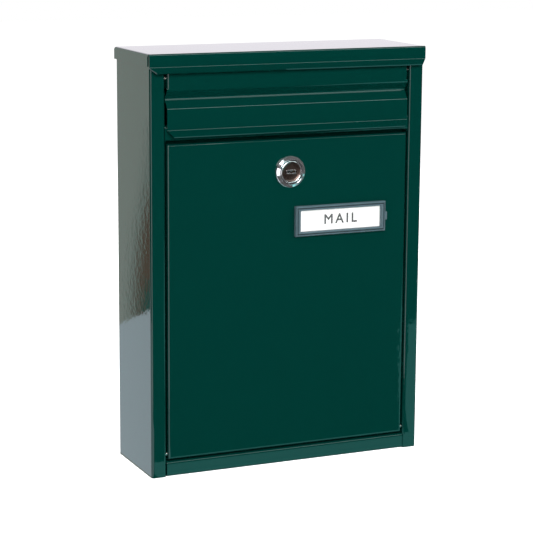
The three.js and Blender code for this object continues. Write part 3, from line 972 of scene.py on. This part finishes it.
def build_lock_plug():
    low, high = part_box("lock_plug")
    x, z = lock_centre()
    head = (high.x - low.x) / 2
    body = 6.0 * MM
    shoulder = low.y + 4.0 * MM
    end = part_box("lock_housing")[1].y - 0.5 * MM
    profile = [
        (0.4 * MM, low.y + 0.75 * MM), (3.0 * MM, low.y + 0.8 * MM), (5.4 * MM, low.y + 0.7 * MM),
        (6.3 * MM, low.y + 0.5 * MM), (6.7 * MM, low.y + 0.15 * MM), (7.1 * MM, low.y),
        (7.6 * MM, low.y + 0.05 * MM), (head, low.y + 0.4 * MM), (head, shoulder), (body, shoulder),
        (body, end), (0.4 * MM, end),
    ]
    piece = turned("lock_plug_turned", profile, (x, z))
    half = 3 * MM
    tang = box_piece("tang", (x - half, end - 1 * MM, z - half), (x + half, high.y, z + half))
    merge_in(piece, tang)
    # the keyway: a slot whose warded sides step up and down
    width, height, depth = 9 * MM, 1.3 * MM, 14 * MM
    steps = ((-0.5, -0.15, 0.0), (-0.2, 0.12, 0.35), (0.08, 0.5, -0.2))
    for start, stop, lift in steps:
        drill(piece, box_piece(
            "keyway_cutter",
            (x + start * width, low.y - 1 * MM, z - height / 2 + lift * MM),
            (x + stop * width, low.y + depth, z + height / 2 + lift * MM),
        ))
    for i in range(1, 5):
        wafer_low, wafer_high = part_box(f"lock_wafer_{i}")
        gap = Vector((3 * MM, 0.25 * MM, 0.25 * MM))
        drill(piece, box_piece("wafer_cutter", wafer_low - gap, wafer_high + gap))
    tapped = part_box("cam_screw")[0].y - 0.3 * MM
    drill(piece, rod_along("tap_cutter", "Y", 2.05 * MM, tapped, high.y + 1 * MM, (x, 0, z), 32))
    break_edges(piece, 0.1 * MM, 2, 50)
    smooth(piece, 38)
    guard = box_piece(
        "keyway_guard", (x - 3.6 * MM, low.y + 0.35 * MM, z - 1.5 * MM),
        (x + 3.6 * MM, low.y + 1.4 * MM, z + 1.5 * MM),
    )
    for start, stop, lift in ((-2.9, -0.6, 0.1), (-0.9, 0.9, -0.35), (0.6, 2.9, 0.25)):
        drill(guard, box_piece(
            "guard_cutter", (x + start * MM, low.y - 1 * MM, z + (lift - 0.65) * MM),
            (x + stop * MM, low.y + 3 * MM, z + (lift + 0.65) * MM),
        ))
    break_edges(guard, 0.15 * MM, 2, 40)
    smooth(guard)
    settle(guard, "lock", material("chrome"), "chrome_plate")
    rim = plug_rim(x, z, low.y)
    settle(rim, "lock", material("chrome"), "chrome_plate")
    return settle(piece, "lock", material("nickel"), "dark_nickel", "lock_plug")


def plug_rim(x, z, front):
    """The thin polished ring pressed round the plug's face."""
    profile = [
        (7.15 * MM, front + 0.6 * MM), (7.15 * MM, front - 0.05 * MM), (7.35 * MM, front - 0.18 * MM),
        (7.75 * MM, front - 0.14 * MM), (8.05 * MM, front + 0.15 * MM), (8.1 * MM, front + 0.6 * MM),
        (7.15 * MM, front + 0.6 * MM),
    ]
    rim = turned("lock_plug_rim", profile, (x, z), closed=True)
    smooth(rim, 45)
    return rim


def turned_fastener(node, name, profile_of, body):
    low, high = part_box(node)
    radius = (high.z - low.z) / 2
    piece = turned(name, profile_of(low.y, high.y, radius), lock_centre(), 64, closed=True)
    smooth(piece, 40)
    return settle(piece, body, material("zinc"), "zinc_plate", node)


def washer_profile(bore):
    def profile(front, back, radius):
        edge = 0.15 * MM
        return [
            (bore, front + edge), (bore + edge, front), (radius - edge, front), (radius, front + edge),
            (radius, back - edge), (radius - edge, back), (bore + edge, back), (bore, back - edge),
            (bore, front + edge),
        ]
    return profile


def build_lock_nut():
    low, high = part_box("lock_nut")
    x, z = lock_centre()
    deselect()
    # a flat-sided blank with one corner up, like the frame's own nut
    bpy.ops.mesh.primitive_cylinder_add(
        vertices=6, radius=(high.z - low.z) / 2, depth=high.y - low.y,
        location=(x, (low.y + high.y) / 2, z), rotation=(math.pi / 2, 0, 0),
    )
    piece = named("lock_nut_hex")
    crown = (high.x - low.x) / 2 + 0.35 * MM
    narrow, wide, slope = crown - 0.6 * MM, crown + 1.3 * MM, 0.9 * MM
    blank = turned(
        "nut_crown",
        [(narrow, low.y), (wide, low.y + slope), (wide, high.y - slope), (narrow, high.y)],
        (x, z), 64,
    )
    apply_modifier(piece, "BOOLEAN", operation="INTERSECT", solver="EXACT", object=blank)
    bpy.data.objects.remove(blank)
    before, behind = low.y - 1 * MM, high.y + 1 * MM
    drill(piece, rod_along("nut_bore", "Y", LOCK_HOLE_RADIUS, before, behind, (x, 0, z), 64))
    break_edges(piece, 0.15 * MM, 2, 35)
    smooth(piece, 30)
    return settle(piece, "door", material("zinc"), "zinc_plate", "lock_nut")


def build_cam_screw():
    low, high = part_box("cam_screw")
    head, shank = (high.z - low.z) / 2, 1.8 * MM
    under = high.y - 2.2 * MM
    profile = [(0.2 * MM, low.y), (shank - 0.4 * MM, low.y), (shank, low.y + 0.4 * MM)]
    pitch = 0.7 * MM
    for i in range(int((under - low.y - 1 * MM) / pitch)):
        start = low.y + 0.5 * MM + i * pitch
        profile += [(shank - 0.25 * MM, start + pitch / 2), (shank, start + pitch)]
    profile += [
        (shank, under), (head - 0.2 * MM, under), (head, under + 0.25 * MM), (head, under + 1.0 * MM),
        (head - 0.5 * MM, high.y - 0.35 * MM), (head - 1.4 * MM, high.y), (0.2 * MM, high.y),
    ]
    x, z = lock_centre()
    piece = turned("cam_screw_turned", profile, (x, z), 48)
    arm, thick = 1.9 * MM, 0.5 * MM
    for wide, tall in ((arm, thick), (thick, arm)):
        drill(piece, box_piece(
            "recess_cutter", (x - wide, high.y - 1.3 * MM, z - tall),
            (x + wide, high.y + 1 * MM, z + tall),
        ))
    break_edges(piece, 0.08 * MM, 1, 50)
    smooth(piece, 38)
    return settle(piece, "lock", material("zinc"), "zinc_plate", "cam_screw")


def build_lock_cam():
    low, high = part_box("lock_cam")
    x, z = lock_centre()
    thick, half, bend = 1.6 * MM, 6.5 * MM, 1.2 * MM
    hub, tip = high.y - thick / 2, low.y + thick / 2
    bend_start, bend_end = x + 10.8 * MM, x + 15.4 * MM
    piece = flat_sheet(
        "lock_cam_plate", ((low.x + bend_start) / 2, hub, z), (bend_start - low.x, 0, 0),
        (0, 0, 2 * half),
    )
    fold(piece, lambda co: near(co.x, bend_start), (bend_end - bend_start, tip - hub, 0))
    fold(piece, lambda co: near(co.x, bend_end), (high.x - bend_end, 0, 0))
    turn = math.atan2(hub - tip, bend_end - bend_start)
    round_fold(piece, lambda co: near(co.x, bend_start), turn, bend)
    round_fold(piece, lambda co: near(co.x, bend_end), turn, bend)
    give_thickness(piece, even=False, thickness=thick)
    for end, corner, steps in ((high.x, 3 * MM, 5), (low.x, half * 0.96, 12)):
        for edge_z in (z - half, z + half):
            mesh = edit(piece)
            pick_edges(
                piece, mesh, lambda co, x=end, height=edge_z: near(co.x, x) and near(co.z, height)
            )
            bpy.ops.mesh.bevel(offset=corner, segments=steps, affect="EDGES")
            leave_edit()
    hole = Vector((3.3 * MM, 2 * MM, 3.3 * MM))
    centre = Vector((x, hub, z))
    drill(piece, box_piece("square_cutter", centre - hole, centre + hole))
    break_edges(piece, 0.15 * MM, 2, 45)
    smooth(piece)
    return settle(piece, "lock", material("zinc"), "zinc_plate", "lock_cam")


# ---------------------------------------------------------------- name plate


def build_label_base():
    low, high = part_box("label_base")
    front_face = low.y
    plate = box_piece("label_base_plate", low, (high.x, front_face + 0.8 * MM, high.z))
    middle = (low + high) / 2
    for sign in (-1, 1):
        spot = middle + Vector((sign * PEG_SPREAD, 0, 0))
        peg = turned(
            "peg",
            [(1.6 * MM, front_face + 0.5 * MM), (1.6 * MM, high.y - 1.6 * MM),
             (1.85 * MM, high.y - 1.3 * MM), (1.2 * MM, high.y)],
            (spot.x, spot.z), 32,
        )
        merge_in(plate, peg)
    break_edges(plate, 0.12 * MM, 2, 40)
    smooth(plate)
    return settle(plate, "door", material("plastic"), "clear_plastic", "label_base")


def build_label_card():
    low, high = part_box("label_card")
    piece = box_piece("label_card_sheet", low, high)
    edit(piece, "FACE")
    bpy.ops.mesh.select_all(action="SELECT")
    bpy.ops.mesh.subdivide(number_cuts=3)
    leave_edit()
    break_edges(piece, 0.06 * MM, 2, 60)
    smooth(piece)
    settle(piece, "door", material("card"), "white_card", "label_card")

    bpy.ops.object.text_add(
        location=((low.x + high.x) / 2, low.y - 0.03 * MM, (low.z + high.z) / 2),
        rotation=(math.pi / 2, 0, 0),
    )
    lettering = bpy.context.object
    lettering.data.body = finishes().card_text
    lettering.data.align_x = "CENTER"
    lettering.data.align_y = "CENTER"
    lettering.data.size = 9.8 * MM
    lettering.data.space_character = 1.35
    lettering.data.bevel_depth = 0.22 * MM
    make_active(lettering)
    bpy.ops.object.convert(target="MESH")
    lettering = named("label_card_print")
    edit(lettering)
    bpy.ops.mesh.select_all(action="SELECT")
    bpy.ops.transform.resize(value=(1, 0.1, 1), center_override=(0, low.y, 0))
    leave_edit()
    return settle(lettering, "door", material("ink"), "white_card")


def build_label_cover():
    low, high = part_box("label_cover")
    base_low, base_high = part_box("label_base")
    card_low, card_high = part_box("label_card")
    piece = box_piece("label_cover_frame", (base_low.x, low.y, low.z), (base_high.x, high.y, high.z))
    mesh = edit(piece, "FACE")
    pick_faces(piece, mesh, lambda c, n: n.y < -0.9)
    bpy.ops.mesh.inset(thickness=0.7 * MM)
    leave_edit()

    def front_edge(co):
        at_side = near(co.x, base_low.x) or near(co.x, base_high.x)
        at_end = near(co.z, low.z) or near(co.z, high.z)
        return (at_side or at_end) and near(co.y, low.y)

    # the outer ring leans back to a thin edge
    shift_vertices(piece, front_edge, (0, 1.0 * MM, 0))
    # an outer rim, a narrow channel, a flat band, then the step down to the window
    channel = 0.8 * MM
    rings = ((0.5 * MM, 0), (0.08 * MM, channel), (0.75 * MM, 0), (0.08 * MM, -channel), (1.0 * MM, 0),
             (0.45 * MM, 0.9 * MM))
    for inset, push in rings:
        mesh = edit(piece, "FACE")
        largest = max((f for f in mesh.faces if f.normal.y < -0.99), key=lambda f: f.calc_area())
        largest.select_set(True)
        bmesh.update_edit_mesh(piece.data)
        bpy.ops.mesh.inset(thickness=inset, depth=-push)
        leave_edit()
    margin = 0.15 * MM
    drill(piece, box_piece(
        "card_pocket", (card_low.x - margin, low.y - 1 * MM, card_low.z - margin),
        (card_high.x + margin, high.y + 1 * MM, card_high.z + margin),
    ))
    tab_half = 3 * MM
    middle = (low.z + high.z) / 2
    tab = box_piece(
        "thumb_tab", (base_high.x - 0.8 * MM, high.y - 0.9 * MM, middle - tab_half),
        (high.x, high.y, middle + tab_half),
    )
    break_edges(tab, 0.25 * MM, 2, 40)
    merge_in(piece, tab)
    break_edges(piece, 0.08 * MM, 2, 30)
    smooth(piece)
    window = box_piece(
        "label_cover_window", (card_low.x - margin, card_low.y - 0.8 * MM, card_low.z - margin),
        (card_high.x + margin, card_low.y - 0.2 * MM, card_high.z + margin),
    )
    break_edges(window, 0.08 * MM, 2, 40)
    smooth(window)
    settle(window, "door", material("window"), "clear_plastic")
    settle(piece, "door", material("plastic"), "clear_plastic", "label_cover")
    # the channel's floor takes the darker plastic, painted shade in the recess
    piece.data.materials.append(material("thin"))
    for face in piece.data.polygons:
        if face.normal.y < -0.9 and near(face.center.y, low.y + channel, 0.1 * MM):
            face.material_index = 1
    return piece


def finish_kept_nodes():
    """Plated and brass finishes for the pins and wafers that stay as they are."""
    looks = {"flap_pin": "zinc", "door_pin": "zinc", "lock_wafer": "brass"}
    for name, node in frame["nodes"].items():
        for start, kind in looks.items():
            if name.startswith(start):
                node.data.materials.clear()
                node.data.materials.append(material(kind))


# ---------------------------------------------------------------- stage


def glow_material(name, colour):
    made = bpy.data.materials.new(name)
    made.use_nodes = True
    tree = made.node_tree
    tree.nodes.remove(tree.nodes["Principled BSDF"])
    glow = tree.nodes.new("ShaderNodeEmission")
    glow.inputs["Color"].default_value = (*colour, 1)
    tree.links.new(glow.outputs[0], tree.nodes["Material Output"].inputs["Surface"])
    return made


def reflection_card(name, corners, colour):
    """A glowing card that shows only in reflections and lights nothing: a painted reflection."""
    mesh = bpy.data.meshes.new(name)
    mesh.from_pydata([Vector(c) for c in corners], [], [tuple(range(len(corners)))])
    card = bpy.data.objects.new(name, mesh)
    bpy.context.scene.collection.objects.link(card)
    card.data.materials.append(glow_material(name, colour))
    card.visible_camera = False
    card.visible_diffuse = False
    card.visible_shadow = False
    card.visible_transmission = False


def soft_light(name, place, size, power):
    """A rectangular lamp aimed at the middle of the box."""
    data = bpy.data.lights.new(name, "AREA")
    data.shape = "RECTANGLE"
    data.size, data.size_y = size
    data.energy = power
    lamp = bpy.data.objects.new(name, data)
    bpy.context.scene.collection.objects.link(lamp)
    lamp.location = place
    lamp.rotation_euler = (-Vector(place)).to_track_quat("-Z", "Y").to_euler()
    lamp.visible_glossy = False
    return lamp


def build_floor():
    settings = stage_settings()
    deselect()
    bpy.ops.mesh.primitive_plane_add(
        size=settings.floor_size, location=(0, 0, CAD_BOX[0].z - settings.floor_drop)
    )
    floor = named("studio_floor")
    look = bpy.data.materials.new("studio_floor")
    look.use_nodes = True
    tree = look.node_tree
    shader = tree.nodes["Principled BSDF"]
    shader.inputs["Base Color"].default_value = (0.6, 0.6, 0.6, 1)
    shader.inputs["Roughness"].default_value = 0.9
    shader.inputs["Specular IOR Level"].default_value = 0.0
    shader.inputs["Emission Strength"].default_value = 1.0
    # the glow is for the camera only, so it adds no light to the box
    path = tree.nodes.new("ShaderNodeLightPath")
    tree.links.new(path.outputs["Is Camera Ray"], shader.inputs["Emission Color"])
    floor.data.materials.append(look)
    floor.visible_glossy = False


def build_air():
    """White to the camera, dim to the surfaces and darker still in reflections."""
    world = bpy.data.worlds.new("studio_air")
    bpy.context.scene.world = world
    world.use_nodes = True
    tree = world.node_tree
    air = tree.nodes["Background"]
    air.inputs["Color"].default_value = (1, 1, 1, 1)
    path = tree.nodes.new("ShaderNodeLightPath")
    dim = place_node(tree, "ShaderNodeMath", operation="MULTIPLY_ADD")
    dim.inputs[1].default_value = 0.9
    dim.inputs[2].default_value = 0.1
    shade = place_node(tree, "ShaderNodeMath", operation="MULTIPLY_ADD")
    shade.inputs[1].default_value = -0.09
    tree.links.new(path.outputs["Is Camera Ray"], dim.inputs[0])
    tree.links.new(path.outputs["Is Glossy Ray"], shade.inputs[0])
    tree.links.new(dim.outputs[0], shade.inputs[2])
    tree.links.new(shade.outputs[0], air.inputs["Strength"])


def build_reflection_cards():
    """Glowing cards, seen only in reflections and lighting nothing, that paint a reflected table top,
    room and lamps onto the gloss.
    """
    low = CAD_BOX[0]
    table = low.z - 0.0002
    front = low.y + 0.006
    # painted reflections: glowing shapes of a table top, a room, a dim shade, a brown and a teal patch
    # and a backdrop, seen only in the gloss
    for name, corners, colour in (
        ("painted_reflection_table_side", [(-0.107, -0.2, table), (-0.107, 0.279, table), (-0.6, 0.716, table),
                        (-0.6, -0.2, table)], (1.15, 1.36, 1.48)),
        ("painted_reflection_room_side", [(-1.6, 1.0, -1.2), (-0.2, 1.0, -1.2), (-0.2, 1.0, 0.9), (-1.6, 1.0, 0.9)],
         (0.81, 0.90, 0.82)),
        ("painted_reflection_room_shade", [(-0.505, 0.992, -0.03), (-0.494, 0.992, -0.10), (-0.480, 0.992, -0.17),
                        (-0.470, 0.992, -0.24), (-0.466, 0.992, -0.33), (-0.56, 0.992, -0.33),
                        (-0.56, 0.992, -0.03)], (0.56, 0.66, 0.60)),
        ("painted_reflection_room_brown", [(-0.506, 0.99, -0.11), (-0.496, 0.99, -0.15), (-0.488, 0.99, -0.19),
                        (-0.482, 0.99, -0.24), (-0.478, 0.99, -0.32), (-0.56, 0.99, -0.32),
                        (-0.56, 0.99, -0.11)], (0.34, 0.21, 0.15)),
        ("painted_reflection_room_teal", [(-0.485, 0.985, -0.31), (-0.490, 0.985, -0.26), (-0.500, 0.985, -0.235),
                       (-0.56, 0.985, -0.23), (-0.56, 0.985, -0.31)], (0.10, 0.26, 0.22)),
        ("painted_reflection_backdrop", [(-0.15, 3.2, 0.16), (3.5, 3.2, 0.16), (3.5, 3.2, 2.2), (-0.15, 3.2, 2.2)],
         (1.25, 1.2, 1.28)),
        ("painted_reflection_table_front", [(-0.1, front, table), (-0.1, -0.105, table), (0.119, -0.105, table),
                         (0.156, -0.19, table), (0.219, -0.309, table), (0.290, -0.44, table),
                         (0.8, -0.44, table), (0.8, front, table)], (0.32, 0.95, 0.93)),
        # painted highlights: bright strips seen only in reflections, for the lines along the bends and
        # the bezel's glints
        ("painted_highlight_strip_high", [(-0.8, -1.7, 1.15), (2.4, -1.7, 1.15), (2.4, -1.7, 1.75), (-0.8, -1.7, 1.75)],
         (4.0, 5.0, 5.0)),
        ("painted_highlight_soft_left", [(-0.85, -1.3, -0.5), (-1.5, -0.75, -0.5), (-1.5, -0.75, 0.35),
                       (-0.85, -1.3, 0.35)], (2.2, 2.2, 2.3)),
    ):
        reflection_card(name, corners, colour)


def build_lamps():
    key = soft_light("key_soft", (-0.5, -2.3, 1.05), (1.6, 1.0), 62)
    key.visible_glossy = True
    soft_light("fill_soft", (1.5, -1.6, 0.7), (1.0, 1.0), 14)
    soft_light("top_soft", (0.1, -0.4, 1.7), (1.6, 1.0), 6)
    soft_light("back_soft", (0.3, 1.8, 1.0), (1.6, 1.2), 34)


def build_camera():
    settings = stage_settings()
    camera_data = bpy.data.cameras.new("camera")
    camera = bpy.data.objects.new("camera", camera_data)
    bpy.context.scene.collection.objects.link(camera)
    camera_data.lens = settings.lens
    camera_data.sensor_width = 36.0
    camera_data.clip_start = 0.05
    turn, tilt, roll = settings.azimuth, settings.tilt, settings.roll
    ahead = Vector((math.sin(turn) * math.cos(tilt), math.cos(turn) * math.cos(tilt), -math.sin(tilt)))
    right = Vector((math.cos(turn), -math.sin(turn), 0))
    down = ahead.cross(right)
    rolled_right = right * math.cos(roll) - down * math.sin(roll)
    rolled_down = right * math.sin(roll) + down * math.cos(roll)
    facing = Matrix((rolled_right, -rolled_down, -ahead)).transposed().to_4x4()
    facing.translation = Vector(settings.eye)
    camera.matrix_world = facing
    bpy.context.scene.camera = camera


def build_stage():
    bpy.context.scene.view_settings.view_transform = "Standard"
    build_floor()
    build_air()
    build_reflection_cards()
    build_lamps()
    build_camera()


# ---------------------------------------------------------------- operators


class BuildOperator:
    bl_options = {"REGISTER", "UNDO"}
    builders = ()

    def execute(self, context):
        for build in self.builders:
            build()
        return {"FINISHED"}


class MAILBOX_OT_case(BuildOperator, bpy.types.Operator):
    """Build the folded case, its bottom tray, lid and cross rail"""

    bl_idname = "mailbox.case"
    bl_label = "Case"
    builders = (build_case_shell, build_bottom_tray, build_roof_cap, build_cross_rail)


class MAILBOX_OT_flap(BuildOperator, bpy.types.Operator):
    """Build the letter flap"""

    bl_idname = "mailbox.flap"
    bl_label = "Letter flap"
    builders = (build_slot_flap,)


class MAILBOX_OT_door(BuildOperator, bpy.types.Operator):
    """Build the door"""

    bl_idname = "mailbox.door"
    bl_label = "Door"
    builders = (build_door_panel,)


def build_lock_washers():
    turned_fastener("lock_washer", "lock_washer_turned", washer_profile(LOCK_HOLE_RADIUS), "door")
    turned_fastener("cam_washer", "cam_washer_turned", washer_profile(2.1 * MM), "lock")


class MAILBOX_OT_lock(BuildOperator, bpy.types.Operator):
    """Build the cam lock"""

    bl_idname = "mailbox.lock"
    bl_label = "Cam lock"
    builders = (
        build_lock_housing, build_lock_plug, build_lock_washers, build_lock_nut, build_lock_cam,
        build_cam_screw,
    )


class MAILBOX_OT_label(BuildOperator, bpy.types.Operator):
    """Build the name plate and its card"""

    bl_idname = "mailbox.label"
    bl_label = "Name plate"
    builders = (build_label_base, build_label_card, build_label_cover)


class MAILBOX_OT_hardware(BuildOperator, bpy.types.Operator):
    """Finish the hinge pins and lock wafers"""

    bl_idname = "mailbox.hardware"
    bl_label = "Pins and wafers"
    builders = (finish_kept_nodes,)


class MAILBOX_OT_stage(BuildOperator, bpy.types.Operator):
    """Build the floor, lights and camera"""

    bl_idname = "mailbox.stage"
    bl_label = "Stage"
    builders = (build_stage,)


class MAILBOX_PT_panel(bpy.types.Panel):
    """Sizes, colours and build steps"""

    bl_idname = "MAILBOX_PT_panel"
    bl_label = "Wall mailbox"
    bl_space_type = "VIEW_3D"
    bl_region_type = "UI"
    bl_category = "Mailbox"

    def draw(self, context):
        for settings in (sheet(), finishes(), stage_settings()):
            column = self.layout.column(align=True)
            for name in settings.__annotations__:
                column.prop(settings, name)
        for operator in OPERATORS:
            self.layout.operator(operator.bl_idname)


SETTINGS = {
    "mailbox_sheet": MailboxSheetSettings,
    "mailbox_finish": MailboxFinishSettings,
    "mailbox_stage": MailboxStageSettings,
}
OPERATORS = (
    MAILBOX_OT_case,
    MAILBOX_OT_flap,
    MAILBOX_OT_door,
    MAILBOX_OT_lock,
    MAILBOX_OT_label,
    MAILBOX_OT_hardware,
    MAILBOX_OT_stage,
)


def register():
    for name, settings in SETTINGS.items():
        bpy.utils.register_class(settings)
        setattr(bpy.types.Scene, name, PointerProperty(type=settings))
    for part in (*OPERATORS, MAILBOX_PT_panel):
        bpy.utils.register_class(part)


def unregister():
    for part in (MAILBOX_PT_panel, *reversed(OPERATORS)):
        bpy.utils.unregister_class(part)
    for name, settings in SETTINGS.items():
        delattr(bpy.types.Scene, name)
        bpy.utils.unregister_class(settings)


def main():
    register()
    for step in ("case", "flap", "door", "lock", "label", "hardware", "stage"):
        getattr(bpy.ops.mailbox, step)()


if __name__ == "__main__":
    main()
